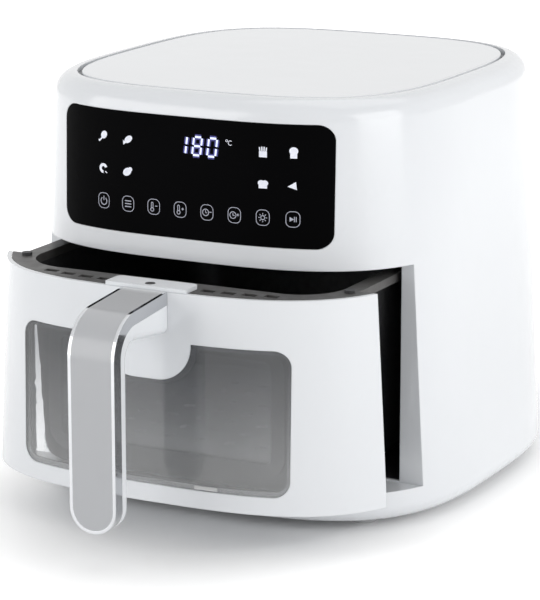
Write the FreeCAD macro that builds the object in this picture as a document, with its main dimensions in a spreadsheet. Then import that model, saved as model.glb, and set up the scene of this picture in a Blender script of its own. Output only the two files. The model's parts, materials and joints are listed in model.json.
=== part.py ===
import FreeCAD, Part
import Sketcher
import math
import os
import re

# Countertop hot-air fryer with a pull-out drawer. Millimetres, +Z up, the front faces -Y.
# The origin is on the floor, under the centre of the housing.
# Drawer pieces are drawn with the drawer shut and placed at the pulled-out distance.

os.makedirs("parts", exist_ok=True)
doc = FreeCAD.newDocument("hot_air_fryer")
sheet = doc.addObject("Spreadsheet::Sheet", "Sizes")
Vector = FreeCAD.Vector
PLAN_STEPS = 48
END_ROUNDNESS = 0.98

driving = [
    # housing
    ("body_height", 300), ("ground_gap", 6), ("base_half_width", 168), ("top_half_width", 150),
    ("base_half_depth", 168.5), ("top_half_depth", 166.7), ("plan_power", 3.2),
    ("wall", 3), ("shoulder", 15), ("bottom_edge", 11), ("top_wall", 9),
    ("floor_wall", 6), ("bottom_hole_inset", 46), ("lid_inset", 15.8), ("lid_groove", 3.2),
    ("lid_thick", 4.5), ("lid_edge", 1.2), ("lid_hole_inset", 48),
    # drawer opening and the liner behind it
    ("opening_back", 106.7), ("opening_low", 27.6), ("opening_high", 184.4),
    ("liner_half_width", 135), ("liner_back", 126), ("liner_sheet", 1.2), ("liner_corner", 40),
    ("rail_offset", 94), ("rail_width", 8), ("rail_height", 3.2), ("running_gap", 0.3), ("seat_gap", 0.15),
    # control panel
    ("panel_half_width", 104.6), ("panel_low", 199.7), ("panel_high", 284.2), ("panel_corner", 11),
    ("glass_thick", 1.6), ("glass_gap", 0.3), ("glass_lip", 5), ("carrier_wall", 2.5),
    ("board_setback", 18), ("board_thick", 1.6), ("board_margin", 9),
    ("display_width", 62), ("display_height", 20), ("display_centre", 6), ("display_level", 262),
    ("display_depth", 9),
    # rear
    ("grille_half_width", 52), ("grille_low", 205), ("grille_high", 247), ("grille_corner", 7),
    ("grille_flange", 5), ("grille_slot", 3.4), ("grille_pitch", 6.6), ("grille_margin", 6),
    ("gland_level", 46), ("gland_radius", 9), ("gland_flange", 13), ("gland_flange_thick", 4),
    ("gland_bore", 4), ("gland_nut_thick", 5), ("gland_fit", 0.15),
    # base and feet
    ("base_thick", 2.5), ("base_gap", 0.6), ("post_radius", 6), ("post_x", 118), ("post_front", 78),
    ("post_rear", 104), ("foot_x", 112), ("foot_y", 116), ("foot_radius", 11), ("foot_taper", 1.5),
    ("screw_radius", 2), ("screw_head", 3.6), ("screw_head_thick", 2), ("screw_fit", 0.1),
    ("screw_x", 62), ("screw_y", 132), ("screw_boss", 5),
    # heater and fan
    ("fan_centre", 11), ("dome_radius", 100), ("dome_height", 41), ("dome_bend", 11), ("dome_flange", 12),
    ("dome_hole", 6), ("guard_radius", 108), ("guard_thick", 1.2), ("guard_hub", 20),
    ("guard_ring", 4), ("guard_slots", 10), ("guard_spoke", 5), ("element_wire", 6.5),
    ("element_outer", 84), ("element_pitch", 8), ("element_drop", 8), ("element_bend", 12),
    ("element_rise", 10), ("clip_width", 7), ("clip_thick", 2), ("clip_reach", 34),
    ("shaft_radius", 3), ("hub_radius", 9), ("fan_radius", 60), ("fan_height", 13), ("fan_disc", 1),
    ("fan_drop", 11), ("fan_blades", 8), ("blade_thick", 1), ("blade_inner", 24), ("blade_turn", 14),
    ("cooling_radius", 44), ("cooling_height", 8), ("cooling_blades", 7), ("cooling_gap", 3),
    ("mount_radius", 62), ("mount_leg_circle", 54), ("mount_leg", 4), ("mount_thick", 2),
    ("mount_height", 14), ("motor_radius", 32), ("motor_height", 30), ("motor_boss", 8),
    ("motor_boss_height", 4), ("bearing_gap", 0.05), ("shaft_top", 3),
    ("probe_radius", 2), ("probe_circle", 67), ("probe_depth", 24), ("probe_nut", 5),
    ("probe_nut_thick", 4), ("cutout_radius", 7), ("cutout_thick", 6), ("cutout_circle", 78),
    # power board and drawer sensor
    ("power_x", 96), ("power_y", 62), ("power_width", 30), ("power_length", 60),
    ("spacer_radius", 3), ("spacer_height", 11), ("relay_size", 17), ("capacitor_radius", 6.5),
    ("capacitor_height", 20), ("magnet_radius", 3.5), ("magnet_length", 5), ("magnet_x", 137.5),
    ("magnet_level", 156), ("magnet_boss", 6), ("reed_width", 4.5), ("reed_depth", 9),
    ("reed_height", 18),
    # drawer
    ("drawer_out", 58), ("drawer_gap", 0.8), ("drawer_lift", 1), ("drawer_top", 176.4),
    ("drawer_floor", 3), ("window_half_width", 103), ("window_low", 41.5), ("window_high", 142),
    ("window_corner", 11), ("tongue_half_width", 35), ("tongue_low", 115), ("tongue_corner", 26),
    ("window_gap", 0.3), ("gasket_thick", 2), ("gasket_overlap", 3),
    ("rim_thick", 6), ("rim_gap", 0.4), ("rim_half_width", 131), ("rim_back", 118),
    ("rim_corner", 36), ("vent_width", 10), ("vent_depth", 6), ("vent_pitch", 15),
    ("vent_first", 40), ("vents_each_side", 4), ("vent_inset", 15),
    ("column_x", 126), ("column_y", 112.5), ("column_radius", 4.5),
    ("pan_front", 138), ("pan_back", 112), ("pan_half_width", 121), ("pan_draft", 9),
    ("pan_bottom", 35), ("pan_corner", 35), ("pan_edge", 10), ("pan_wall", 2), ("runner_width", 12),
    ("runner_front", 20), ("runner_rear", 24), ("sight_half_width", 84), ("sight_low", 56),
    ("sight_high", 132), ("sight_corner", 8), ("sight_frame", 8), ("sight_frame_thick", 3),
    ("sight_lip", 2),
    # handle
    ("handle_reach", 72), ("handle_width", 35), ("handle_thick", 19), ("handle_low", 25.6),
    ("handle_top", 177), ("handle_slope", 5), ("handle_bend", 30), ("trim_thick", 9),
    ("insert_thick", 3), ("insert_width", 30.4), ("arm_drop", 11), ("grip_round", 6),
    ("bridge_half_width", 31), ("bridge_depth", 19), ("bridge_thick", 2.8), ("bridge_inset", 1), ("bridge_corner", 4),
    ("plug_radius", 3.5), ("plug_setback", 7), ("handle_screw_x", 9), ("handle_screw_drop", 13),
    ("handle_screw_length", 16),
    # crisper plate
    ("plate_gap", 2.2), ("plate_level", 50), ("plate_thick", 2), ("plate_hole", 5),
    ("plate_pitch", 24), ("plate_lip", 5), ("plate_foot", 6), ("plate_foot_inset", 24),
]
derived = [
    ("cavity_top", "opening_high + liner_sheet"),
    ("dome_top", "opening_high + liner_sheet + dome_height"),
    ("element_level", "opening_high + element_drop"),
    ("mount_level", "opening_high + liner_sheet + dome_height + mount_height"),
    ("motor_level", "mount_level + mount_thick"),
    ("motor_top", "motor_level + motor_height"),
    ("fan_level", "dome_top - fan_drop - fan_height"),
    ("rail_top", "opening_low + liner_sheet + rail_height"),
    ("base_level", "ground_gap + floor_wall"),
    ("rim_low", "drawer_top - rim_thick"),
    ("drawer_low", "opening_low + drawer_lift"),
    ("drawer_back", "opening_back + drawer_gap"),
    ("board_front", "min(base_half_depth; top_half_depth) - board_setback"),
    ("spacer_level", "opening_high + liner_sheet + spacer_height"),
]
for row, (alias, number) in enumerate(driving + derived, start=1):
    sheet.set(f"A{row}", alias)
    sheet.set(f"B{row}", str(number) if (alias, number) in driving else "=" + number)
    sheet.setAlias(f"B{row}", alias)
doc.recompute()
aliases = {alias for alias, number in driving + derived}
nodes = []


def size(alias):
    return float(sheet.get(alias))


def tied(text):
    # an expression in the sheet's own names
    return re.sub(r"[a-z_]+", lambda word: "Sizes." + word[0] if word[0] in aliases else word[0], text)


def bind(thing, **expressions):
    for name, text in expressions.items():
        thing.setExpression(name, tied(text))


def move(thing, x="0", y="0", z="0"):
    for letter, text in zip("xyz", (x, y, z)):
        thing.setExpression("Placement.Base." + letter, tied(text))


def keep(thing, label):
    thing.Label = label
    nodes.append(thing)
    return thing


def on_drawer(thing):
    move(thing, y="-drawer_out")
    return thing


def on_fan(thing):
    # pieces drawn about Z are carried to the middle of the cavity
    move(thing, y="fan_centre")
    return thing


def feature(name, shape):
    thing = doc.addObject("Part::Feature", name)
    thing.Shape = shape
    return thing


def box(name, x, y, z):
    # each of x, y and z is a pair of expressions, low and high
    thing = doc.addObject("Part::Box", name)
    sides = zip(("Length", "Width", "Height"), (x, y, z))
    bind(thing, **{side: f"({high}) - ({low})" for side, (low, high) in sides})
    move(thing, x[0], y[0], z[0])
    return thing


def cylinder(name, radius, low, high, x="0", y="0"):
    thing = doc.addObject("Part::Cylinder", name)
    bind(thing, Radius=radius, Height=f"({high}) - ({low})")
    move(thing, x, y, low)
    return thing


def cylinder_back(name, radius, front, rear, x="0", z="0"):
    # a cylinder along +Y
    thing = doc.addObject("Part::Cylinder", name)
    bind(thing, Radius=radius, Height=f"({rear}) - ({front})")
    thing.Placement.Rotation = FreeCAD.Rotation(Vector(1, 0, 0), -90)
    move(thing, x, front, z)
    return thing


def fused(name, *things):
    thing = doc.addObject("Part::MultiFuse", name)
    thing.Shapes = list(things)
    return thing


def cut(name, base, tool):
    thing = doc.addObject("Part::Cut", name)
    thing.Base = base
    thing.Tool = tool
    return thing


def grouped(name, things):
    thing = doc.addObject("Part::Compound", name)
    thing.Links = list(things)
    return thing


def body(name):
    return doc.addObject("PartDesign::Body", name)


def sketch(owner, name, role, level="0"):
    drawing = owner.newObject("Sketcher::SketchObject", name)
    plane = next(each for each in owner.Origin.OriginFeatures if each.Role == role)
    drawing.AttachmentSupport = (plane, [""])
    drawing.MapMode = "FlatFace"
    drawing.setExpression("AttachmentOffset.Base.z", tied(level))
    return drawing


def add_circle(drawing, name, radius, x=None):
    shape = Part.Circle(Vector(10, 0, 0), Vector(0, 0, 1), 5)
    index = drawing.addGeometry(shape, False)
    if x is None:
        drawing.addConstraint(Sketcher.Constraint("Coincident", index, 3, -1, 1))
    else:
        drawing.addConstraint(Sketcher.Constraint("PointOnObject", index, 3, -1))
        place = drawing.addConstraint(Sketcher.Constraint("DistanceX", -1, 1, index, 3, 10))
        drawing.renameConstraint(place, name + "_x")
        drawing.setExpression("Constraints." + name + "_x", tied(x))
    place = drawing.addConstraint(Sketcher.Constraint("Radius", index, 5))
    drawing.renameConstraint(place, name + "_radius")
    drawing.setExpression("Constraints." + name + "_radius", tied(radius))


def add_loop(drawing, points):
    # a closed run of straight lines, each corner tied to a pair of expressions
    rough = [Vector(*(sheet_value(text) for text in pair), 0) for pair in points]
    count = len(rough)
    for index in range(count):
        drawing.addGeometry(Part.LineSegment(rough[index], rough[(index + 1) % count]), False)
    first = drawing.GeometryCount - count
    for index in range(count):
        after = first + (index + 1) % count
        drawing.addConstraint(Sketcher.Constraint("Coincident", first + index, 2, after, 1))
    for index, pair in enumerate(points):
        for kind, letter, text in zip(("DistanceX", "DistanceY"), "xy", pair):
            rule = Sketcher.Constraint(kind, -1, 1, first + index, 1, sheet_value(text))
            place = drawing.addConstraint(rule)
            name = f"corner_{first + index}_{letter}"
            drawing.renameConstraint(place, name)
            drawing.setExpression("Constraints." + name, tied(text))


def sheet_value(text):
    words = {alias: size(alias) for alias in aliases if re.search(rf"\b{alias}\b", text)}
    probe = tied(text)
    return float(sheet.evalExpression(probe)) if words else float(text)


def pad(owner, drawing, name, length):
    thing = owner.newObject("PartDesign::Pad", name)
    thing.Profile = drawing
    bind(thing, Length=length)
    return thing


def pocket_through(owner, drawing, name):
    thing = owner.newObject("PartDesign::Pocket", name)
    thing.Profile = drawing
    thing.Type = "ThroughAll"
    thing.Midplane = True
    return thing


def turned(name, points):
    # a solid of revolution about Z from a radius and height outline
    owner = body(name)
    drawing = sketch(owner, name + "_profile", "XZ_Plane")
    add_loop(drawing, points)
    spin = owner.newObject("PartDesign::Revolution", name + "_spin")
    spin.Profile = drawing
    spin.ReferenceAxis = (drawing, ["V_Axis"])
    spin.Angle = 360
    return owner


# Outer form: a squarish plan, |x / a| ** n + |y / b| ** n = 1, that narrows towards the top.

def plan(inset, level):
    share = level / size("body_height")
    half_width = size("base_half_width") + (size("top_half_width") - size("base_half_width")) * share
    half_depth = size("base_half_depth") + (size("top_half_depth") - size("base_half_depth")) * share
    power = size("plan_power")
    points = []
    for step in range(PLAN_STEPS):
        angle = 2 * math.pi * (step + 0.5) / PLAN_STEPS
        across, along = math.cos(angle), math.sin(angle)
        reach = (abs(across / half_width) ** power + abs(along / half_depth) ** power) ** (-1 / power)
        point = Vector(reach * across, reach * along, level)
        slope_x = math.copysign(abs(point.x / half_width) ** (power - 1) / half_width, point.x)
        slope_y = math.copysign(abs(point.y / half_depth) ** (power - 1) / half_depth, point.y)
        points.append(point - Vector(slope_x, slope_y, 0).normalize() * inset)
    curve = Part.BSplineCurve()
    curve.interpolate(Points=points, PeriodicFlag=True)
    return Part.Wire(curve.toShape())


def form(inset, low, high):
    return Part.makeLoft([plan(inset, low), plan(inset, high)], True, True)


def rounded(shape, radius, level):
    edges = [each for each in shape.Edges if abs(each.BoundBox.ZMin - level) < 0.01
             and abs(each.BoundBox.ZMax - level) < 0.01]
    return shape.makeFillet(radius, edges)


def slab(low, high, front, rear):
    reach = 2 * size("base_half_width")
    return Part.makeBox(2 * reach, rear - front, high - low, Vector(-reach, front, low))


def front_outline(half_width, low, high, corner):
    # a rounded rectangle standing in the XZ plane, as a face
    corners = [(half_width, low), (half_width, high), (-half_width, high), (-half_width, low)]
    points = [Vector(x, 0, z) for x, z in corners]
    return Part.Face(rounded_loop(points, corner))


def rounded_loop(points, corner):
    edges = []
    count = len(points)
    starts = []
    for index, point in enumerate(points):
        before = (points[index - 1] - point).normalize()
        after = (points[(index + 1) % count] - point).normalize()
        middle = (before + after).normalize()
        half_turn = before.getAngle(after) / 2
        reach = corner / math.tan(half_turn)
        deep = corner / math.sin(half_turn) - corner
        starts.append((point + before * reach, point + middle * deep, point + after * reach))
    for index, (first, middle, last) in enumerate(starts):
        edges.append(Part.Arc(first, middle, last).toShape())
        edges.append(Part.LineSegment(last, starts[(index + 1) % count][0]).toShape())
    return Part.Wire(edges)


def through(face, front, rear):
    block = face.copy()
    block.translate(Vector(0, front, 0))
    return block.extrude(Vector(0, rear - front, 0))


def front_block(face):
    return through(face, -2 * size("base_half_depth"), 0)


def skin(inset, thick, low, high):
    return form(inset, low, high).cut(form(inset + thick, low - 1, high + 1))


height = size("body_height")
wall = size("wall")
ground = size("ground_gap")
far = 2 * size("base_half_depth")


# Window outlines of the drawer, with the tongue that carries the handle.

def window_face(grow):
    opening = front_outline(size("window_half_width") + grow, size("window_low") - grow,
                            size("window_high") + grow, size("window_corner") + grow)
    tongue = front_outline(size("tongue_half_width") - grow, size("tongue_low") + grow,
                           size("window_high") + 2 * size("tongue_corner"), size("tongue_corner") - grow)
    return opening.cut(tongue).Faces[0]


def panel_face(grow):
    return front_outline(size("panel_half_width") + grow, size("panel_low") - grow,
                         size("panel_high") + grow, size("panel_corner") + grow)


def grille_face(grow):
    return front_outline(size("grille_half_width") + grow, size("grille_low") - grow,
                         size("grille_high") + grow, size("grille_corner") + grow)


# Housing shell: one moulding with a pocket for the drawer front.

def removed(shape, *tools):
    for tool in tools:
        shape = shape.cut(tool)
    return shape


def make_housing_shell():
    outer = rounded(form(0, ground, height), size("shoulder"), height)
    outer = rounded(outer, size("bottom_edge"), ground)
    inner_top = height - size("top_wall")
    hollow = rounded(form(wall, size("base_level"), inner_top), size("shoulder") - 2 * wall, inner_top)
    back = -size("opening_back")
    keep_out = slab(size("opening_low") - wall, size("opening_high") + wall, -far, back + wall)
    reach = size("liner_half_width")
    doorway_low = size("opening_low") + size("liner_sheet")
    doorway = Part.makeBox(2 * reach, 2 * wall + 2, size("opening_high") - doorway_low,
                           Vector(-reach, back - 1, doorway_low))
    lid_floor = height - size("lid_thick")
    gland_at = Vector(0, 0, size("gland_level"))
    gland = Part.makeCylinder(size("gland_radius") + size("gland_fit"), far, gland_at, Vector(0, 1, 0))
    stem = size("screw_radius") + size("screw_fit")
    stems = [Part.makeCylinder(stem, size("base_level"), Vector(x, y, 0))
             for x, y in places("foot_x", "foot_y") + places("screw_x", "screw_y")]
    recess_depth = wall + size("glass_thick") + size("seat_gap")
    recess = skin(-wall, recess_depth, size("opening_high") + wall, height - 1)
    return removed(
        outer,
        form(size("lid_inset"), lid_floor, height + 1),
        form(size("bottom_hole_inset"), 0, size("base_level") + 1),
        recess.common(front_block(panel_face(size("glass_gap")))),
        hollow.cut(keep_out),
        form(size("lid_hole_inset"), inner_top - 1, height),
        slab(size("opening_low"), size("opening_high"), -far, back),
        doorway,
        front_block(panel_face(-size("glass_lip"))),
        through(grille_face(size("glass_gap")), 0, far),
        gland,
        *stems,
    )


def places(across, along):
    return [(x * size(across), y * size(along)) for x in (-1, 1) for y in (-1, 1)]


keep(feature("housing_shell", make_housing_shell()), "housing_shell")

lid_floor = height - size("lid_thick")
lid = form(size("lid_inset") + size("lid_groove"), lid_floor, height)
keep(feature("top_cover", rounded(lid, size("lid_edge"), height)), "top_cover")

# Control panel: glass in its recess, a carrier behind it, the board and the display.

glass = skin(0, size("glass_thick"), size("opening_high"), height - size("shoulder"))
keep(feature("control_glass", glass.common(front_block(panel_face(0)))), "control_glass")

carrier_outer = panel_face(-size("glass_lip") - 1)
carrier_inner = panel_face(-size("glass_lip") - 1 - size("carrier_wall"))
carrier_ring = through(carrier_outer.cut(carrier_inner), -far, -size("board_front"))
carrier = carrier_ring.common(form(size("glass_thick"), size("opening_high"), height))
keep(feature("panel_carrier", carrier), "panel_carrier")

board_edge = "panel_half_width - board_margin"
keep(box("control_board", (f"-({board_edge})", board_edge),
         ("-board_front", "-board_front + board_thick"),
         ("panel_low + board_margin", "panel_high - board_margin")), "control_board")
keep(box("display_module", ("display_centre - display_width / 2", "display_centre + display_width / 2"),
         ("-board_front - display_depth", "-board_front"),
         ("display_level - display_height / 2", "display_level + display_height / 2")), "display_module")

# Liner: an open box of thin sheet, with the fan opening in its roof.


def liner_block(grow, low, high, front):
    reach, back = size("liner_half_width") + grow, size("liner_back") + grow
    corners = [(reach, -far), (reach, back), (-reach, back), (-reach, -far)]
    loop = rounded_loop([Vector(x, y, low) for x, y in corners], size("liner_corner") + grow)
    block = Part.Face(loop).extrude(Vector(0, 0, high - low))
    return block.common(slab(low, high, front, far))


sheet_thick = size("liner_sheet")
liner_front = wall - size("opening_back")
liner = liner_block(sheet_thick, size("opening_low"), size("cavity_top"), liner_front)
liner = liner.cut(liner_block(0, size("opening_low") + sheet_thick, size("opening_high"), liner_front - 1))
fan_mouth = Part.makeCylinder(size("dome_radius"), 2 * sheet_thick,
                              Vector(0, size("fan_centre"), size("opening_high")))
keep(feature("cavity_liner", liner.cut(fan_mouth)), "cavity_liner")



def side_strip(name, side, width, y, z):
    edges = (f"{side} * rail_offset - {width} / 2", f"{side} * rail_offset + {width} / 2")
    return box(f"{name}_{'left' if side < 0 else 'right'}", edges, y, z)


rails = [side_strip("guide_rail", side, "rail_width", ("-opening_back + wall", "liner_back - liner_corner"),
                    ("opening_low + liner_sheet", "rail_top")) for side in (-1, 1)]
keep(grouped("guide_rails", rails), "guide_rails")

# Heater: reflector dome, element, its clips and the guard under it.

dome_outline = [
    ("dome_radius + dome_flange", "cavity_top"), ("dome_radius + dome_flange", "cavity_top + liner_sheet"),
    ("dome_radius + liner_sheet", "cavity_top + liner_sheet"),
    ("dome_radius + liner_sheet", "dome_top - dome_bend"),
    ("dome_radius - dome_bend", "dome_top"),
    ("dome_hole", "dome_top"),
    ("dome_hole", "dome_top - liner_sheet"),
    ("dome_radius - dome_bend - liner_sheet / 2", "dome_top - liner_sheet"),
    ("dome_radius", "dome_top - dome_bend - liner_sheet / 2"), ("dome_radius", "cavity_top"),
]
dome = turned("dome", dome_outline)
probe_along = "probe_circle * 0.7071"
leg_hole = "element_wire / 2 + running_gap"
dome_holes = fused(
    "dome_holes",
    cylinder("leg_hole_outer", leg_hole, "dome_top - 5", "dome_top + 5", "element_outer", "-element_bend"),
    cylinder("leg_hole_inner", leg_hole, "dome_top - 5", "dome_top + 5",
             "element_outer - 2 * element_pitch", "element_bend"),
    cylinder("probe_hole", "probe_radius + screw_fit", "dome_top - 5", "dome_top + 5", f"-({probe_along})",
             f"-({probe_along})"),
)
keep(on_fan(cut("heater_reflector", dome, dome_holes)), "heater_reflector")


def make_element():
    # two turns of half circles, whose radius drops by a quarter of the pitch at each half turn
    outer, pitch, bend = size("element_outer"), size("element_pitch"), size("element_bend")
    level = size("element_level")
    top = size("dome_top") + size("element_rise")
    edges = [Part.LineSegment(Vector(outer, -bend, top), Vector(outer, -bend, level + bend)).toShape()]
    lean = bend * math.sqrt(0.5)
    edges.append(Part.Arc(Vector(outer, -bend, level + bend), Vector(outer, -lean, level + bend - lean),
                          Vector(outer, 0, level)).toShape())
    start = outer
    for turn in range(4):
        side = 1 if turn % 2 == 0 else -1
        end = -side * (abs(start) - pitch / 2)
        middle = (start + end) / 2
        edges.append(Part.Arc(Vector(start, 0, level), Vector(middle, side * abs(start - end) / 2, level),
                              Vector(end, 0, level)).toShape())
        start = end
    edges.append(Part.Arc(Vector(start, 0, level), Vector(start, lean, level + bend - lean),
                          Vector(start, bend, level + bend)).toShape())
    edges.append(Part.LineSegment(Vector(start, bend, level + bend), Vector(start, bend, top)).toShape())
    path = Part.Wire(edges)
    ring = Part.Circle(Vector(outer, -bend, top), Vector(0, 0, 1), size("element_wire") / 2).toShape()
    return path.makePipeShell([Part.Wire(ring)], True, False)


keep(on_fan(feature("heating_element", make_element())), "heating_element")



def around(shape, count, first=0):
    copies = []
    for index in range(count):
        copy = shape.copy()
        copy.rotate(Vector(0, 0, 0), Vector(0, 0, 1), first + 360 * index / count)
        copies.append(copy)
    return Part.makeCompound(copies)


clip_low = size("element_level") + size("element_wire") / 2
clip = Part.makeBox(size("clip_reach"), size("clip_width"), size("clip_thick"),
                    Vector(size("dome_radius") - size("clip_reach"), -size("clip_width") / 2, clip_low))
clip = clip.common(Part.makeCylinder(size("dome_radius"), 2 * height))
keep(on_fan(feature("element_clips", around(clip, 3, 60))), "element_clips")


def polar(owner, feature_made, name, count):
    pattern = owner.newObject("PartDesign::PolarPattern", name)
    pattern.Originals = [feature_made]
    axis = next(each for each in owner.Origin.OriginFeatures if each.Role == "Z_Axis")
    pattern.Axis = (axis, [""])
    pattern.Angle = 360
    bind(pattern, Occurrences=count)
    owner.Tip = pattern
    return pattern


def make_guard():
    # a flat disc under the roof of the liner, cut by three rings of slots
    guard = body("fan_guard")
    disc = sketch(guard, "guard_disc", "XY_Plane", "opening_high - guard_thick")
    add_circle(disc, "disc", "guard_radius")
    pad(guard, disc, "guard_plate", "guard_thick")
    slots = sketch(guard, "guard_slot_rings", "XY_Plane", "opening_high")
    step = "(dome_radius - guard_ring / 2 - guard_hub) / 3"
    for ring in range(3):
        inner = f"guard_hub + {ring} * {step} + guard_ring / 2"
        outer = f"guard_hub + {ring + 1} * {step} - guard_ring / 2"
        lean = "tan(180 deg / guard_slots)"
        low, high = (f"(({edge}) * {lean} - guard_spoke / 2)" for edge in (inner, outer))
        add_loop(slots, [(inner, "-" + low), (outer, "-" + high), (outer, high), (inner, low)])
    made = pocket_through(guard, slots, "guard_slots")
    polar(guard, made, "guard_slot_pattern", "guard_slots")
    return guard


keep(on_fan(make_guard()), "fan_guard")


def make_fan(name, radius, low, high, inner, turn, count, disc=None):
    fan = body(name)
    hub = sketch(fan, name + "_hub_circle", "XY_Plane", low)
    add_circle(hub, "hub", "hub_radius")
    pad(fan, hub, name + "_hub", f"({high}) - ({low})")
    if disc:
        plate = sketch(fan, name + "_disc_circle", "XY_Plane", f"({high}) - {disc}")
        add_circle(plate, "disc", radius)
        pad(fan, plate, name + "_disc", disc)
    blade = sketch(fan, name + "_blade_outline", "XY_Plane", low)
    reach = f"{radius} * cos({turn} * 1 deg)"
    drop = f"{radius} * sin({turn} * 1 deg)"
    add_loop(blade, [(inner, "-blade_thick / 2"), (reach, f"-({drop}) - blade_thick / 2"),
                     (reach, f"-({drop}) + blade_thick / 2"), (inner, "blade_thick / 2")])
    tip = pad(fan, blade, name + "_blade", f"({high}) - ({low})")
    polar(fan, tip, name + "_blades", count)
    bore = sketch(fan, name + "_bore_circle", "XY_Plane", low)
    add_circle(bore, "bore", "shaft_radius")
    pocket_through(fan, bore, name + "_bore")
    return fan


hot_fan = make_fan("hot_air_fan", "fan_radius", "fan_level", "fan_level + fan_height", "blade_inner",
                   "blade_turn", "fan_blades", "fan_disc")
keep(on_fan(hot_fan), "hot_air_fan")
cool_fan = make_fan("cooling_fan", "cooling_radius", "dome_top + cooling_gap",
                    "dome_top + cooling_gap + cooling_height", "hub_radius - blade_thick", "blade_turn",
                    "cooling_blades")
keep(on_fan(cool_fan), "cooling_fan")
shaft_end = "motor_top + motor_boss_height + shaft_top"
keep(cylinder("motor_shaft", "shaft_radius", "fan_level", shaft_end, "0", "fan_centre"), "motor_shaft")

bore = "shaft_radius + bearing_gap"
motor = turned("motor", [
    (bore, "motor_level"), ("motor_radius", "motor_level"), ("motor_radius", "motor_top"),
    ("motor_boss", "motor_top"), ("motor_boss", "motor_top + motor_boss_height"),
    (bore, "motor_top + motor_boss_height"),
])
keep(on_fan(motor), "motor")

mount_disc = Part.makeCylinder(size("mount_radius"), size("mount_thick"), Vector(0, 0, size("mount_level")))
mount_disc = mount_disc.cut(Part.makeCylinder(size("hub_radius"), 2 * height))
mount_leg = Part.makeCylinder(size("mount_leg"), size("mount_height"),
                              Vector(size("mount_leg_circle"), 0, size("dome_top")))
mount = mount_disc.fuse(around(mount_leg, 3, 30).Solids)
keep(on_fan(feature("motor_mount", mount)), "motor_mount")

probe_x = f"-({probe_along})"
probe_rod = cylinder("probe_rod", "probe_radius", "dome_top - probe_depth", "dome_top + probe_nut_thick",
                     probe_x, probe_x)
probe_nut = cylinder("probe_nut", "probe_nut", "dome_top", "dome_top + probe_nut_thick", probe_x, probe_x)
keep(on_fan(fused("temperature_probe", probe_rod, probe_nut)), "temperature_probe")
keep(cylinder("thermal_cutout", "cutout_radius", "dome_top", "dome_top + cutout_thick", "0",
              "fan_centre + cutout_circle"), "thermal_cutout")

# Power board on spacers over the liner, and the drawer's reed switch.

power_right, power_rear = "power_x + power_width", "power_y + power_length"
power_plate = box("power_plate", ("power_x", power_right), ("power_y", power_rear),
                  ("spacer_level", "spacer_level + board_thick"))
relay = box("relay", ("power_x + board_margin / 2", "power_x + board_margin / 2 + relay_size"),
            ("power_y + board_margin", "power_y + board_margin + relay_size"),
            ("spacer_level + board_thick", "spacer_level + board_thick + relay_size"))
capacitor = cylinder("capacitor", "capacitor_radius", "spacer_level + board_thick",
                     "spacer_level + board_thick + capacitor_height",
                     "power_x + power_width / 2", f"{power_rear} - 2 * capacitor_radius")
keep(fused("power_board", power_plate, relay, capacitor), "power_board")
spacers = [cylinder(f"board_spacer_{column}_{row}", "spacer_radius", "cavity_top", "spacer_level", x, y)
           for column, x in enumerate(("power_x + 2 * spacer_radius", f"{power_right} - 2 * spacer_radius"))
           for row, y in enumerate(("power_y + 2 * spacer_radius", f"{power_rear} - 2 * spacer_radius"))]
keep(grouped("board_spacers", spacers), "board_spacers")
keep(box("reed_switch", ("-magnet_x - reed_width", "-magnet_x"),
         ("-opening_back + wall", "-opening_back + wall + reed_depth"),
         ("magnet_level - reed_height / 2", "magnet_level + reed_height / 2")), "reed_switch")

# Rear: exhaust grille and cord gland.


def make_grille():
    thick = wall * 3 / 2
    plate_outline = through(grille_face(size("grille_flange")), 0, far)
    grille = skin(0, thick, size("opening_high"), height).common(plate_outline)
    step = skin(-wall, 2 * wall + size("seat_gap"), size("opening_high"), height)
    around_plate = grille_face(2 * size("grille_flange")).cut(grille_face(0))
    grille = grille.cut(step.common(through(around_plate, 0, far)))
    reach = size("grille_half_width") - size("grille_margin")
    low = size("grille_low") + size("grille_margin")
    count = int((size("grille_high") - size("grille_margin") - low) // size("grille_pitch")) + 1
    for index in range(count):
        level = low + index * size("grille_pitch")
        grille = grille.cut(Part.makeBox(2 * reach, far, size("grille_slot"), Vector(-reach, 0, level)))
    return grille


keep(feature("rear_grille", make_grille()), "rear_grille")

rear_face = "base_half_depth - (base_half_depth - top_half_depth) * gland_level / body_height"
rear_skin = f"({rear_face}) - wall"
# The rear wall leans, so the flange and the nut stand off by the lean across their radius.
lean = "(gland_fit + gland_flange * abs(base_half_depth - top_half_depth) / body_height)"
gland_solid = fused(
    "gland_solid",
    cylinder_back("gland_flange", "gland_flange", f"{rear_face} + {lean}",
                  f"{rear_face} + {lean} + gland_flange_thick", "0", "gland_level"),
    cylinder_back("gland_barrel", "gland_radius", f"{rear_skin} - {lean} - gland_nut_thick",
                  f"{rear_face} + gland_flange_thick", "0", "gland_level"),
    cylinder_back("gland_nut", "gland_flange", f"{rear_skin} - {lean} - gland_nut_thick",
                  f"{rear_skin} - {lean}", "0", "gland_level"),
)
gland_hole = cylinder_back("gland_hole", "gland_bore", "0", "2 * base_half_depth", "0", "gland_level")
keep(cut("cord_gland", gland_solid, gland_hole), "cord_gland")

# Base plate on the shell's floor, feet and screws.


def make_base():
    low = size("base_level")
    high = low + size("base_thick")
    base = form(wall + size("base_gap"), low, high)
    for x in (-size("post_x"), size("post_x")):
        for y in (-size("post_front"), size("post_rear")):
            post = Part.makeCylinder(size("post_radius"), size("opening_low") - low, Vector(x, y, low))
            base = base.fuse(post)
    stem = size("screw_radius") + size("screw_fit")
    boss_height = size("opening_low") - wall - low
    for x, y in places("screw_x", "screw_y"):
        boss = Part.makeCylinder(size("screw_boss"), boss_height, Vector(x, y, low))
        base = base.fuse(boss).cut(Part.makeCylinder(stem, boss_height, Vector(x, y, low)))
    return base


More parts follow.
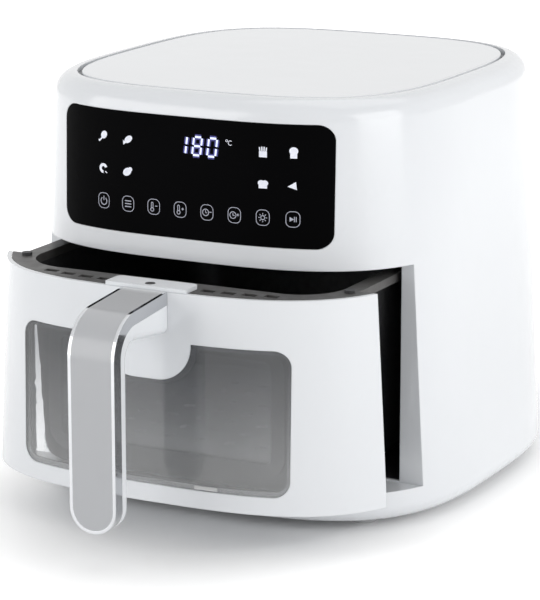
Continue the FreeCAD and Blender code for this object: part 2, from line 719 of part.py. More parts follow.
keep(feature("base_plate", make_base()), "base_plate")


def make_foot(x, y):
    sole = size("foot_radius") - size("foot_taper")
    pad_low = Part.makeCone(sole, size("foot_radius"), ground, Vector(x, y, 0))
    return pad_low.fuse(Part.makeCylinder(size("screw_radius"), size("floor_wall"), Vector(x, y, ground)))


def make_base_screw(x, y):
    head_low = ground - size("screw_head_thick")
    head = Part.makeCylinder(size("screw_head"), size("screw_head_thick"), Vector(x, y, head_low))
    length = size("floor_wall") + size("base_thick") + size("screw_boss")
    return head.fuse(Part.makeCylinder(size("screw_radius"), length, Vector(x, y, ground)))


keep(feature("feet", Part.makeCompound([make_foot(x, y) for x, y in places("foot_x", "foot_y")])), "feet")
screws = [make_base_screw(x, y) for x, y in places("screw_x", "screw_y")]
keep(feature("base_screws", Part.makeCompound(screws)), "base_screws")

# Drawer front: the same outer form, cut back to the pocket in the housing.


def half_depth(level):
    lean = (size("base_half_depth") - size("top_half_depth")) * level / height
    return size("base_half_depth") - lean


def upright(radius, low, high, x, y):
    return Part.makeCylinder(radius, high - low, Vector(x, y, low))


screw_hole = size("screw_radius") + size("screw_fit")
drawer_low = size("drawer_low")
drawer_top = size("drawer_top")
drawer_back = size("drawer_back")
rim_low = size("rim_low")
screw_level = size("handle_top") - size("handle_screw_drop")


def make_drawer_front():
    ahead = slab(0, height, -far, -drawer_back)
    floor_top = drawer_low + size("drawer_floor")
    front = form(0, drawer_low, drawer_top).common(ahead).cut(form(wall, floor_top, drawer_top + 1))
    inside = form(wall / 2, drawer_low, rim_low)
    column_reach = size("column_radius")
    for side in (-1, 1):
        column = upright(column_reach, drawer_low, rim_low, side * size("column_x"), -size("column_y"))
        rib_x = size("column_x") if side > 0 else -2 * size("column_x")
        rib = Part.makeBox(size("column_x"), wall, rim_low - drawer_low,
                           Vector(rib_x, -size("column_y") - wall / 2, drawer_low))
        front = front.fuse([column, rib.common(inside)])
        hole = upright(screw_hole, rim_low - 2 * size("rim_thick"), rim_low, side * size("column_x"),
                       -size("column_y"))
        front = front.cut(hole)
    boss = 2 * size("magnet_boss")
    holder = Part.makeBox(boss, boss, boss, Vector(-size("magnet_x") - boss / 2, -drawer_back - boss,
                                                    size("magnet_level") - boss / 2))
    front = front.fuse(holder.common(inside))
    bore_at = Vector(-size("magnet_x"), -drawer_back - size("magnet_length"), size("magnet_level"))
    magnet_bore = size("magnet_radius") + size("screw_fit")
    front = front.cut(Part.makeCylinder(magnet_bore, size("magnet_length"), bore_at, Vector(0, 1, 0)))
    front = front.cut(front_block(window_face(size("window_gap"))))
    for side in (-1, 1):
        at = Vector(side * size("handle_screw_x"), -far, screw_level)
        front = front.cut(Part.makeCylinder(screw_hole, far - drawer_back, at, Vector(0, 1, 0)))
    return front.removeSplitter()


def drawer_piece(name, shape):
    return keep(on_drawer(feature(name, shape)), name)


drawer_piece("drawer_front", make_drawer_front())
magnet = cylinder_back("drawer_magnet", "magnet_radius", "-drawer_back - magnet_length - drawer_out",
                       "-drawer_back - drawer_out", "-magnet_x", "magnet_level")
keep(magnet, "drawer_magnet")

pane = skin(0, wall, drawer_low, rim_low).common(front_block(window_face(0)))
drawer_piece("window_pane", pane)
gasket_ring = window_face(size("gasket_overlap")).cut(window_face(-size("gasket_overlap")))
gasket_skin = skin(wall + size("seat_gap"), size("gasket_thick"), drawer_low, rim_low)
drawer_piece("window_gasket", gasket_skin.common(front_block(gasket_ring)))

# Pan: upright front wall, the other sides drawn out towards the top.


def pan_loop(inset, level):
    share = (rim_low - level) / (rim_low - size("pan_bottom"))
    draft = size("pan_draft") * share
    right = size("pan_half_width") - draft - inset
    front, back = inset - size("pan_front"), size("pan_back") - draft - inset
    corners = [(right, front), (right, back), (-right, back), (-right, front)]
    return rounded_loop([Vector(x, y, level) for x, y in corners], size("pan_corner") - inset)


def pan_form(inset, low, high, edge):
    return rounded(Part.makeLoft([pan_loop(inset, low), pan_loop(inset, high)], True, True), edge, low)


def sight_face(grow):
    return front_outline(size("sight_half_width") + grow, size("sight_low") - grow,
                         size("sight_high") + grow, size("sight_corner") + grow)


pan_wall = size("pan_wall")
pan_front = -size("pan_front")
pan_floor = size("pan_bottom") + pan_wall
pan = pan_form(0, size("pan_bottom"), rim_low, size("pan_edge"))
pan = pan.cut(pan_form(pan_wall, pan_floor, rim_low + 1, size("pan_edge") - pan_wall))
pan = pan.cut(through(sight_face(0), pan_front - 1, pan_front + pan_wall + 1))
drawer_piece("pan", pan)
drawer_piece("pan_window", through(sight_face(-size("window_gap")), pan_front, pan_front + pan_wall))
sight_ring = sight_face(size("sight_frame")).cut(sight_face(-size("sight_lip")))
drawer_piece("pan_window_frame", through(sight_ring, pan_front - size("sight_frame_thick"), pan_front))
runner_ends = ("-pan_front + runner_front", "pan_back - runner_rear")
runner_levels = ("rail_top + running_gap", "pan_bottom")
runners = [side_strip("runner", side, "runner_width", runner_ends, runner_levels) for side in (-1, 1)]
keep(on_drawer(grouped("pan_runners", runners)), "pan_runners")

# Rim: a dark plate round the mouth of the pan, with a row of air slots along the front.


def make_rim():
    ahead = slab(0, height, -far, -drawer_back)
    plate = form(wall + size("rim_gap"), rim_low, drawer_top).common(ahead)
    right, back = size("rim_half_width"), size("rim_back")
    corners = [(right, pan_front), (right, back), (-right, back), (-right, pan_front)]
    loop = rounded_loop([Vector(x, y, rim_low) for x, y in corners], size("rim_corner"))
    plate = plate.fuse(Part.Face(loop).extrude(Vector(0, 0, size("rim_thick"))))
    mouth = Part.Face(pan_loop(pan_wall, rim_low)).extrude(Vector(0, 0, 2 * size("rim_thick")))
    plate = plate.cut(mouth)
    for side in (-1, 1):
        hole = upright(screw_hole, rim_low, drawer_top, side * size("column_x"), -size("column_y"))
        plate = plate.cut(hole)
        for index in range(int(size("vents_each_side"))):
            x = side * (size("vent_first") + index * size("vent_pitch"))
            share = abs(x / size("base_half_width")) ** size("plan_power")
            y = -half_depth(drawer_top) * (1 - share) ** (1 / size("plan_power")) + size("vent_inset")
            slot = Part.makeBox(size("vent_width"), size("vent_depth"), 2 * size("rim_thick"),
                                Vector(x - size("vent_width") / 2, y - size("vent_depth") / 2, rim_low))
            plate = plate.cut(slot)
    return plate.removeSplitter()


drawer_piece("drawer_rim", make_rim())


def make_rim_screw(side):
    at_x, at_y = side * size("column_x"), -size("column_y")
    shank = upright(size("screw_radius"), rim_low - size("rim_thick"), drawer_top, at_x, at_y)
    head = upright(size("screw_head"), drawer_top, drawer_top + size("screw_head_thick"), at_x, at_y)
    return shank.fuse(head)


drawer_piece("rim_screws", Part.makeCompound([make_rim_screw(side) for side in (-1, 1)]))

# Handle: a bent bar of three layers, seated on the drawer front.


def bent_band(near, deep, width, low, drop=0):
    # the layer between two depths behind the handle's outer face; drop deepens the arm at the drawer
    front = -half_depth(drawer_top) - size("handle_reach")
    root = -half_depth(drawer_top) + wall
    slope = math.radians(size("handle_slope"))

    def corner(depth):
        lowered = depth / math.cos(slope) + math.tan(slope) * (root - front - depth)
        return Vector(0, front + depth, size("handle_top") - lowered)

    def bend(depth, lowered):
        radius = size("handle_bend") - depth
        point = corner(depth)
        rear = Vector(0, root, size("handle_top") - depth / math.cos(slope) - lowered)
        along = (rear - point).normalize()
        middle = (along + Vector(0, 0, -1)).normalize()
        half_turn = along.getAngle(Vector(0, 0, -1)) / 2
        reach = radius / math.tan(half_turn)
        deep_point = point + middle * (radius / math.sin(half_turn) - radius)
        foot = Vector(0, front + depth, low)
        return rear, point + along * reach, deep_point, point - Vector(0, 0, reach), foot

    rear, first, middle, last, foot = bend(near, 0)
    rear_in, first_in, middle_in, last_in, foot_in = bend(deep, drop)
    edges = [
        Part.LineSegment(rear, first), Part.Arc(first, middle, last), Part.LineSegment(last, foot),
        Part.LineSegment(foot, foot_in), Part.LineSegment(foot_in, last_in),
        Part.Arc(last_in, middle_in, first_in),
        Part.LineSegment(first_in, rear_in),
        Part.LineSegment(rear_in, rear),
    ]
    face = Part.Face(Part.Wire([edge.toShape() for edge in edges]))
    face.translate(Vector(-width / 2, 0, 0))
    band = face.extrude(Vector(width, 0, 0))
    end = front_outline(width / 2, low, height, width / 2 * END_ROUNDNESS)
    band = band.common(through(end, -2 * far, 0)).cut(form(-size("seat_gap"), ground, height))
    if drop:
        back_line = Part.Wire([edge.toShape() for edge in edges[4:7]])
        band = rounded_back(band, back_line, low + width)
    return band


def rounded_back(band, back_line, end_high):
    # the edges along the back, where fingers close round the grip
    edges = []
    for edge in band.Edges:
        middle = edge.valueAt((edge.FirstParameter + edge.LastParameter) / 2)
        on_back = back_line.distToShape(Part.Vertex(0, middle.y, middle.z))[0] < 0.01
        if on_back and (abs(middle.x) > 1 or middle.z < end_high):
            edges.append(edge)
    return band.makeFillet(size("grip_round"), edges)


width = size("handle_width")
insert_width = size("insert_width")
insert_low = size("handle_low") + (width - insert_width) / 2
insert = bent_band(0, size("insert_thick"), insert_width, insert_low)
trim = bent_band(0, size("trim_thick"), width, size("handle_low")).cut(insert)
grip = bent_band(size("trim_thick"), size("handle_thick"), width, size("handle_low"), size("arm_drop"))
for side in (-1, 1):
    screw_tip = -half_depth(screw_level) - size("handle_screw_length")
    at = Vector(side * size("handle_screw_x"), screw_tip, screw_level)
    grip = grip.cut(Part.makeCylinder(screw_hole, far, at, Vector(0, 1, 0)))
drawer_piece("handle_grip", grip)
drawer_piece("handle_trim", trim)
drawer_piece("handle_insert", insert)


def make_handle_screw(side):
    inner = -half_depth(screw_level) + wall
    tip = -half_depth(screw_level) - size("handle_screw_length") + 1
    at = Vector(side * size("handle_screw_x"), tip, screw_level)
    shank = Part.makeCylinder(size("screw_radius"), inner - tip, at, Vector(0, 1, 0))
    seat = Vector(at.x, inner + size("screw_fit"), screw_level)
    head = Part.makeCylinder(size("screw_head"), size("screw_head_thick"), seat, Vector(0, 1, 0))
    neck_at = Vector(at.x, inner, at.z)
    neck = Part.makeCylinder(size("screw_radius"), size("screw_fit"), neck_at, Vector(0, 1, 0))
    return shank.fuse([neck, head])


drawer_piece("handle_screws", Part.makeCompound([make_handle_screw(side) for side in (-1, 1)]))


def make_bridge():
    reach = half_depth(drawer_top) - size("bridge_inset")
    right = size("bridge_half_width")
    corners = [(right, -reach - wall), (right, size("bridge_depth") - reach),
               (-right, size("bridge_depth") - reach), (-right, -reach - wall)]
    loop = rounded_loop([Vector(x, y, drawer_top) for x, y in corners], size("bridge_corner"))
    plate = Part.Face(loop).extrude(Vector(0, 0, size("bridge_thick")))
    plate = plate.common(form(size("bridge_inset"), drawer_top - 1, drawer_top + 2 * size("bridge_thick")))
    hole_radius = size("plug_radius") + size("screw_fit")
    hole = upright(hole_radius, drawer_top, height, 0, size("plug_setback") - reach)
    return plate.cut(hole)


drawer_piece("handle_bridge", make_bridge())
plug_y = size("plug_setback") - half_depth(drawer_top) + size("bridge_inset")
plug_top = drawer_top + size("bridge_thick") + size("screw_fit")
drawer_piece("screw_plug", upright(size("plug_radius"), drawer_top, plug_top, 0, plug_y))

# Crisper plate: a holed tray with a raised edge, on four rubber feet in the pan.


def make_plate():
    low, thick = size("plate_level"), size("plate_thick")
    inset = pan_wall + size("plate_gap")
    plate = Part.Face(pan_loop(inset, low)).extrude(Vector(0, 0, thick + size("plate_lip")))
    tray = Part.Face(pan_loop(inset + thick, low)).extrude(Vector(0, 0, thick + size("plate_lip")))
    tray.translate(Vector(0, 0, thick))
    plate = plate.cut(tray)
    pitch = size("plate_pitch")
    middle = (size("pan_back") - size("pan_draft") - size("pan_front")) / 2
    across = int((size("pan_half_width") - size("plate_foot_inset") - pitch) // pitch)
    along = int((middle + size("pan_front") - size("plate_foot_inset") - pitch) // pitch)
    holes = []
    for column in range(-across, across + 1):
        for row in range(-along, along + 1):
            at = Vector(column * pitch, middle + row * pitch, low)
            corners = [at + Vector(size("plate_hole") * math.cos(math.radians(60 * corner)),
                                   size("plate_hole") * math.sin(math.radians(60 * corner)), 0)
                       for corner in range(7)]
            holes.append(Part.Face(Part.makePolygon(corners)).extrude(Vector(0, 0, thick)))
    return plate.cut(holes)


drawer_piece("crisper_plate", make_plate())
foot_x = "pan_half_width - pan_draft - plate_foot_inset - pan_wall"
foot_front = "-pan_front + pan_wall + plate_foot_inset"
foot_rear = "pan_back - pan_draft - plate_foot_inset - pan_wall"
foot_low = "pan_bottom + pan_wall + running_gap"
foot_places = [(f"{side} * ({foot_x})", along) for side in (-1, 1) for along in (foot_front, foot_rear)]
plate_feet = [cylinder(f"crisper_foot_{index}", "plate_foot", foot_low, "plate_level", across, along)
              for index, (across, along) in enumerate(foot_places)]
keep(on_drawer(grouped("crisper_feet", plate_feet)), "crisper_feet")

# Check everything, then write one file for each piece.

doc.recompute()
for thing in doc.Objects:
    if "Invalid" in thing.State or "Error" in thing.State:
        raise RuntimeError(f"{thing.Label} failed: {thing.State}")
broken = []
for thing in nodes:
    shape = thing.Shape
    if shape.isNull() or not shape.isValid() or not shape.Solids:
        broken.append(thing.Label)
if broken:
    raise RuntimeError("no valid solid: " + ", ".join(broken))
for thing in nodes:
    thing.Shape.exportStep(f"parts/{thing.Label}.step")
print(len(nodes), "pieces written")
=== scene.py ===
import bmesh
import bpy
import json
import math
from mathutils import Matrix, Vector
from mathutils.bvhtree import BVHTree


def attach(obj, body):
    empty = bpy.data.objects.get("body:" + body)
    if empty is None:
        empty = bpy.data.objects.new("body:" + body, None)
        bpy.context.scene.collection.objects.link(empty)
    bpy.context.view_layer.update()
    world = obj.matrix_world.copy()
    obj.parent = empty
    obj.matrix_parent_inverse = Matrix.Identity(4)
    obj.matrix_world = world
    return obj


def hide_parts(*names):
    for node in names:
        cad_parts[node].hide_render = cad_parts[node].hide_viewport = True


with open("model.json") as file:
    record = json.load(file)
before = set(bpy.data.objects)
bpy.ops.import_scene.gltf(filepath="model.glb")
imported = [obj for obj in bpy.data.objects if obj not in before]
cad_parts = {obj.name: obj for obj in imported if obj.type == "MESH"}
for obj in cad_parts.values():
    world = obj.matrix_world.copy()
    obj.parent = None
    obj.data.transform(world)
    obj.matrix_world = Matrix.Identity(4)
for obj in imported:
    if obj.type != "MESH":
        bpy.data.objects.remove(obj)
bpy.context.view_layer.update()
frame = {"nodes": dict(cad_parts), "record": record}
nodes = frame["nodes"]
bodyOf = {n: body for body, members in frame["record"]["behaviour"]["bodies"].items() for n in members}
mm = 0.001
print("frame loaded:", len(nodes), "nodes")


# Materials

noiseRange = (0.3, 0.7)  # where nearly all values of a noise texture lie
grainStrength = 0.25
sheenRough = 0.35


def startMaterial(name):
    mat = bpy.data.materials.new(name)
    mat.use_nodes = True
    tree = mat.node_tree
    shader = tree.nodes["Principled BSDF"]
    coords = tree.nodes.new("ShaderNodeTexCoord")
    return mat, tree, shader, coords.outputs["Object"]


def noise(tree, coords, scale, detail=2.0):
    tex = tree.nodes.new("ShaderNodeTexNoise")
    tex.inputs["Scale"].default_value = scale
    tex.inputs["Detail"].default_value = detail
    tree.links.new(coords, tex.inputs["Vector"])
    return tex.outputs["Fac"]


def spread(tree, value, low, high):
    step = tree.nodes.new("ShaderNodeMapRange")
    step.inputs["From Min"].default_value, step.inputs["From Max"].default_value = noiseRange
    step.inputs["To Min"].default_value = low
    step.inputs["To Max"].default_value = high
    tree.links.new(value, step.inputs["Value"])
    return step.outputs["Result"]


def tint(tree, value, dark, light):
    ramp = tree.nodes.new("ShaderNodeValToRGB")
    for stop, position, colour in zip(ramp.color_ramp.elements, noiseRange, (dark, light)):
        stop.position, stop.color = position, (*colour, 1)
    tree.links.new(value, ramp.inputs["Fac"])
    return ramp.outputs["Color"]


def bumpy(tree, shader, height, distance, edge):
    bump = tree.nodes.new("ShaderNodeBump")
    bump.inputs["Strength"].default_value = grainStrength
    bump.inputs["Distance"].default_value = distance
    tree.links.new(height, bump.inputs["Height"])
    if edge:  # soft light along moulded edges
        bevel = tree.nodes.new("ShaderNodeBevel")
        bevel.samples = 4
        bevel.inputs["Radius"].default_value = edge
        tree.links.new(bevel.outputs["Normal"], bump.inputs["Normal"])
    tree.links.new(bump.outputs["Normal"], shader.inputs["Normal"])


def finish(name, dark, light, patches, rough, grain, depth, metal=0, edge=0, coat=0, coatRough=0.05, level=0.5,
           sheen=0):
    mat, tree, shader, coords = startMaterial(name)
    tree.links.new(tint(tree, noise(tree, coords, patches, 3), dark, light), shader.inputs["Base Color"])
    tree.links.new(spread(tree, noise(tree, coords, patches * 3, 4), *rough), shader.inputs["Roughness"])
    bumpy(tree, shader, noise(tree, coords, grain, 3), depth, edge)
    shader.inputs["Metallic"].default_value = metal
    shader.inputs["Specular IOR Level"].default_value = level
    shader.inputs["Coat Weight"].default_value = coat
    shader.inputs["Coat Roughness"].default_value = coatRough
    shader.inputs["Sheen Weight"].default_value = sheen
    shader.inputs["Sheen Roughness"].default_value = sheenRough
    return mat


# the share of the light colour at the bottom and at the top is a painted reflection, lighter low down
windowToneAndPaintedReflection = {"bottomPaintedReflection": 0.72, "topPaintedReflection": 0.28, "blotch": 0.03, "ior": 1.46}


def clear(name, dark, light, levels, rough, through):
    mat, tree, shader, coords = startMaterial(name)
    parts = tree.nodes.new("ShaderNodeSeparateXYZ")
    tree.links.new(coords, parts.inputs[0])
    paintedReflectionRamp = tree.nodes.new("ShaderNodeMapRange")  # painted reflection: the colour is lighter at the bottom and darker upwards, standing in for the bright floor reflected in the pane
    paintedReflectionRamp.inputs["From Min"].default_value, paintedReflectionRamp.inputs["From Max"].default_value = levels
    paintedReflectionRamp.inputs["To Min"].default_value = windowToneAndPaintedReflection["bottomPaintedReflection"]
    paintedReflectionRamp.inputs["To Max"].default_value = windowToneAndPaintedReflection["topPaintedReflection"]
    tree.links.new(parts.outputs["Z"], paintedReflectionRamp.inputs["Value"])
    blotch = tree.nodes.new("ShaderNodeMath")
    blotch.operation = "ADD"
    tree.links.new(paintedReflectionRamp.outputs["Result"], blotch.inputs[0])
    patches = spread(tree, noise(tree, coords, 9, 2), -windowToneAndPaintedReflection["blotch"], windowToneAndPaintedReflection["blotch"])
    tree.links.new(patches, blotch.inputs[1])
    tree.links.new(tint(tree, blotch.outputs[0], dark, light), shader.inputs["Base Color"])
    tree.links.new(spread(tree, noise(tree, coords, 60, 3), *rough), shader.inputs["Roughness"])
    shader.inputs["Transmission Weight"].default_value = through
    shader.inputs["IOR"].default_value = windowToneAndPaintedReflection["ior"]
    return mat


def lit(name, dark, light, strength):
    mat, tree, shader, coords = startMaterial(name)
    glow = tint(tree, noise(tree, coords, 400, 2), dark, light)
    tree.links.new(glow, shader.inputs["Base Color"])
    tree.links.new(glow, shader.inputs["Emission Color"])
    shader.inputs["Emission Strength"].default_value = strength
    return mat


finishes = {
    "white_gloss": finish("gloss_white_plastic", (0.82, 0.84, 0.868), (0.848, 0.868, 0.895), 5, (0.1, 0.17),
                          900, 0.00002, edge=0.001, coat=0.4),
    "black_panel": finish("black_panel_glass", (0.0008, 0.0008, 0.001), (0.0016, 0.0016, 0.002), 8, (0.03, 0.07),
                          40, 0.00001, level=0.015),
    "grey_insert": finish("satin_grey_insert", (0.475, 0.485, 0.505), (0.487, 0.497, 0.517), 12, (0.29, 0.31),
                          2500, 0.000004, edge=0.0005, coat=0.5, coatRough=0.2, sheen=1),
    "chrome_trim": finish("chromed_trim", (0.62, 0.63, 0.65), (0.7, 0.71, 0.73), 25, (0.06, 0.13),
                          300, 0.00001, metal=1, edge=0.0006),
    "clear_window": clear("clear_window_painted_reflection", (0.42, 0.43, 0.45), (0.95, 0.96, 0.97), (0.05, 0.135),
                          (0.01, 0.04), 0.86),
    # the clips share the same painted reflection, lighter at their bottom
    "clip": clear("frosted_clip", (0.9, 0.9, 0.9), (0.95, 0.95, 0.95), (0.03, 0.05), (0.18, 0.26), 0.45),
    "rim_grey": finish("rim_dark_grey", (0.06, 0.058, 0.056), (0.085, 0.082, 0.08), 40, (0.38, 0.5),
                       1800, 0.00004, edge=0.0006),
    "black_coat": finish("non_stick_black", (0.022, 0.022, 0.023), (0.036, 0.036, 0.038), 220, (0.34, 0.5),
                         2600, 0.00005, edge=0.0006),
    "dark_plastic": finish("dark_moulded_plastic", (0.02, 0.02, 0.022), (0.035, 0.035, 0.038), 60, (0.45, 0.6),
                           1400, 0.00006, edge=0.0005),
    "silicone": finish("grey_silicone_and_groove_shade", (0.2, 0.205, 0.21), (0.25, 0.255, 0.26), 70, (0.4, 0.5), 1200, 0.00004),
    "rubber": finish("soft_rubber", (0.03, 0.03, 0.03), (0.05, 0.05, 0.05), 80, (0.65, 0.8), 1200, 0.00008),
    "pale_rubber": finish("pale_foot_rubber", (0.42, 0.42, 0.43), (0.5, 0.5, 0.51), 80, (0.5, 0.65),
                          1200, 0.00006),
    "steel": finish("bright_steel", (0.5, 0.5, 0.5), (0.6, 0.6, 0.61), 60, (0.22, 0.36), 700, 0.00003, metal=1),
    "circuit_board": finish("green_circuit_board", (0.01, 0.08, 0.03), (0.02, 0.14, 0.05), 160, (0.3, 0.5),
                            500, 0.00004),
    "display": finish("dark_display", (0.01, 0.012, 0.016), (0.02, 0.022, 0.028), 90, (0.1, 0.2), 300, 0.00001),
}
print("finishes made:", len(finishes))


# Smooth skins of the solids

skins = {
    "white_gloss": ("housing_shell", "drawer_front", "top_cover", "handle_grip", "handle_bridge"),
    "black_panel": ("control_glass",),
    "grey_insert": ("handle_insert",),
    "chrome_trim": ("handle_trim",),
    "clear_window": ("window_pane", "pan_window"),
    "rim_grey": ("drawer_rim",),
    "black_coat": ("pan", "cavity_liner", "crisper_plate", "heater_reflector", "pan_window_frame"),
    "dark_plastic": ("rear_grille", "cord_gland", "base_plate", "screw_plug", "cooling_fan"),
    "rubber": ("feet", "window_gasket", "crisper_feet"),
    "steel": ("heating_element", "fan_guard", "hot_air_fan", "rim_screws", "handle_screws", "base_screws",
              "guide_rails", "pan_runners", "motor", "motor_mount", "motor_shaft"),
}
ownFinish = {"window_gasket": "silicone", "feet": "pale_rubber", "rim_screws": "dark_plastic"}
sharpFrom = math.radians(32)
mergeWithin = 0.01 * mm


def addPiece(mesh, body, material):
    piece = bpy.data.objects.new(mesh.name, mesh)
    bpy.context.scene.collection.objects.link(piece)
    mesh.materials.clear()
    mesh.materials.append(material)
    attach(piece, body)
    return piece


def smoothSkin(node, slot):
    bm = bmesh.new()
    bm.from_mesh(nodes[node].data)
    bmesh.ops.remove_doubles(bm, verts=bm.verts, dist=mergeWithin)
    for face in bm.faces:
        face.smooth = True
    for edge in bm.edges:
        edge.smooth = len(edge.link_faces) == 2 and edge.calc_face_angle() < sharpFrom
    mesh = bpy.data.meshes.new(node + "_skin")
    bm.to_mesh(mesh)
    bm.free()
    piece = addPiece(mesh, bodyOf[node], finishes[ownFinish.get(node, slot)])
    weighted = piece.modifiers.new("even_light", "WEIGHTED_NORMAL")
    weighted.keep_sharp = True
    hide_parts(node)


for slot, members in skins.items():
    for node in members:
        smoothSkin(node, slot)
print("skins made:", sum(len(members) for members in skins.values()))

inside = {  # pieces that only show through openings keep their own meshes
    "dark_plastic": ("panel_carrier", "board_spacers", "reed_switch", "drawer_magnet", "element_clips"),
    "circuit_board": ("control_board", "power_board"),
    "display": ("display_module",),
    "steel": ("temperature_probe", "thermal_cutout"),
}
for slot, members in inside.items():
    for node in members:
        nodes[node].data.materials.clear()
        nodes[node].data.materials.append(finishes[slot])
print("inside pieces finished:", sum(len(members) for members in inside.values()))


# Painted shade: a grey ring laid at the bottom of the groove round the lid, darkening it where shade falls

plan = {"height": 300.0, "baseWide": 168.0, "topWide": 150.0, "baseDeep": 168.5, "topDeep": 166.7, "power": 3.2}
grooveShadeRing = {"inset": (16.0, 18.8), "low": 295.5, "high": 296.6, "segments": 192}


def planPoint(angle, inset, z):
    up, power = z / plan["height"], plan["power"]  # half width and depth of the housing at that height
    wide = plan["baseWide"] + (plan["topWide"] - plan["baseWide"]) * up
    deep = plan["baseDeep"] + (plan["topDeep"] - plan["baseDeep"]) * up
    c, s = math.cos(angle), math.sin(angle)
    reach = (abs(c / wide) ** power + abs(s / deep) ** power) ** (-1 / power)
    x, y = reach * c, reach * s
    out = Vector((math.copysign(abs(x / wide) ** (power - 1) / wide, x),
                  math.copysign(abs(y / deep) ** (power - 1) / deep, y), 0)).normalized()
    return (Vector((x, y, z)) - inset * out) * mm


def planRing(bm, inset, z, segments):
    made = bmesh.ops.create_circle(bm, segments=segments, radius=1)["verts"]
    for v in made:
        v.co = planPoint(math.atan2(v.co.y, v.co.x), inset, z)
    return list({edge for v in made for edge in v.link_edges})


grooveShade = bmesh.new()
outerRing, innerRing = (planRing(grooveShade, inset, grooveShadeRing["low"], grooveShadeRing["segments"]) for inset in grooveShadeRing["inset"])
ringFaces = bmesh.ops.bridge_loops(grooveShade, edges=outerRing + innerRing)["faces"]
raised = bmesh.ops.extrude_face_region(grooveShade, geom=ringFaces)["geom"]
bmesh.ops.translate(grooveShade, vec=(0, 0, (grooveShadeRing["high"] - grooveShadeRing["low"]) * mm),
                    verts=[g for g in raised if isinstance(g, bmesh.types.BMVert)])
bmesh.ops.recalc_face_normals(grooveShade, faces=grooveShade.faces)
grooveShadeMesh = bpy.data.meshes.new("lid_groove_painted_shade")
grooveShade.to_mesh(grooveShadeMesh)
grooveShade.free()
# painted shade: the grey silicone finish here only darkens the groove; the window gasket uses it as its real
# colour
addPiece(grooveShadeMesh, "housing", finishes["silicone"])
print("lid seal made")


# Small clear clips along the window's lower edge

clips = {"x": (-46.0, 46.0), "z": 43.6, "wide": 17.0, "high": 2.6, "proud": 1.0,
         "sunk": 0.05, "softEdge": 0.25}


def surfaceOf(node):
    bm = bmesh.new()
    bm.from_mesh(nodes[node].data)
    tree = BVHTree.FromBMesh(bm)
    bm.free()
    return tree


def layOn(tree, bm, lift):
    for v in bm.verts:  # drawn flat as (x, z) in millimetres, then laid on the curved front
        x, z = v.co.x * mm, v.co.y * mm
        hit = tree.ray_cast(Vector((x, -1, z)), Vector((0, 1, 0)))[0]
        v.co = Vector((x, hit.y - lift, z))


clipShape = bmesh.new()
for clipX in clips["x"]:
    made = bmesh.ops.create_grid(clipShape, x_segments=10, y_segments=2, size=0.5)["verts"]
    bmesh.ops.scale(clipShape, vec=(clips["wide"], clips["high"], 1), verts=made)
    bmesh.ops.translate(clipShape, vec=(clipX, clips["z"], 0), verts=made)
layOn(surfaceOf("window_pane"), clipShape, -clips["sunk"] * mm)
proud = bmesh.ops.extrude_face_region(clipShape, geom=clipShape.faces[:])["geom"]
bmesh.ops.translate(clipShape, vec=(0, -clips["proud"] * mm, 0),
                    verts=[g for g in proud if isinstance(g, bmesh.types.BMVert)])
bmesh.ops.recalc_face_normals(clipShape, faces=clipShape.faces)
clipMesh = bpy.data.meshes.new("window_clips")
clipShape.to_mesh(clipMesh)
clipShape.free()
clipPiece = addPiece(clipMesh, "drawer", finishes["clip"])
soften = clipPiece.modifiers.new("soft_edges", "BEVEL")
soften.width = clips["softEdge"] * mm
soften.segments = 2
print("window clips made")


# Lit signs on the panel glass

signs = {"lift": 0.06 * mm, "centre": 6.0, "keyPitch": 20.8, "keyZ": 219.8, "keyWide": 9.4, "keyHigh": 10.6,
         "keyCorner": 3.6, "line": 0.42, "markX": (52.0, 73.0), "markZ": (265.0, 242.5),
         "digitX": (-8.5, 3.0, 14.5), "digitZ": 265.0, "digitHigh": 14.4, "digitWide": 8.0, "slant": 0.13,
         "stroke": 1.45, "halo": 3.6, "strokeGap": 0.75, "strokeInset": 0.9,
         "degreeX": 25.5, "degreeUp": 5.6}
glassTree = surfaceOf("control_glass")


def bar(bm, x0, z0, x1, z1, line):
    made = bmesh.ops.create_grid(bm, x_segments=2, y_segments=1, size=0.5)["verts"]
    length = math.hypot(x1 - x0, z1 - z0)
    bmesh.ops.scale(bm, vec=(length, line, 1), verts=made)
    turn = Matrix.Rotation(math.atan2(z1 - z0, x1 - x0), 3, "Z")
    bmesh.ops.rotate(bm, cent=(0, 0, 0), matrix=turn, verts=made)
    bmesh.ops.translate(bm, vec=((x0 + x1) / 2, (z0 + z1) / 2, 0), verts=made)


def arc(bm, x, z, radius, line, start=0.0, sweep=360.0):
    first = math.radians(start)
    near, far = radius - line / 2, radius + line / 2
    ends = [bm.verts.new((x + r * math.cos(first), z + r * math.sin(first), 0)) for r in (near, far)]
    edge = bm.edges.new(ends)
    bmesh.ops.spin(bm, geom=ends + [edge], cent=(x, z, 0), axis=(0, 0, 1), angle=math.radians(sweep),
                   steps=max(4, int(abs(sweep) / 12)), use_merge=abs(sweep) >= 360)


def disc(bm, x, z, radius, wide=1.0, turn=0.0, sides=20):
    made = bmesh.ops.create_circle(bm, cap_ends=True, segments=sides, radius=radius)["verts"]
    bmesh.ops.scale(bm, vec=(wide, 1, 1), verts=made)
    bmesh.ops.rotate(bm, cent=(0, 0, 0), matrix=Matrix.Rotation(math.radians(turn), 3, "Z"), verts=made)
    bmesh.ops.translate(bm, vec=(x, z, 0), verts=made)


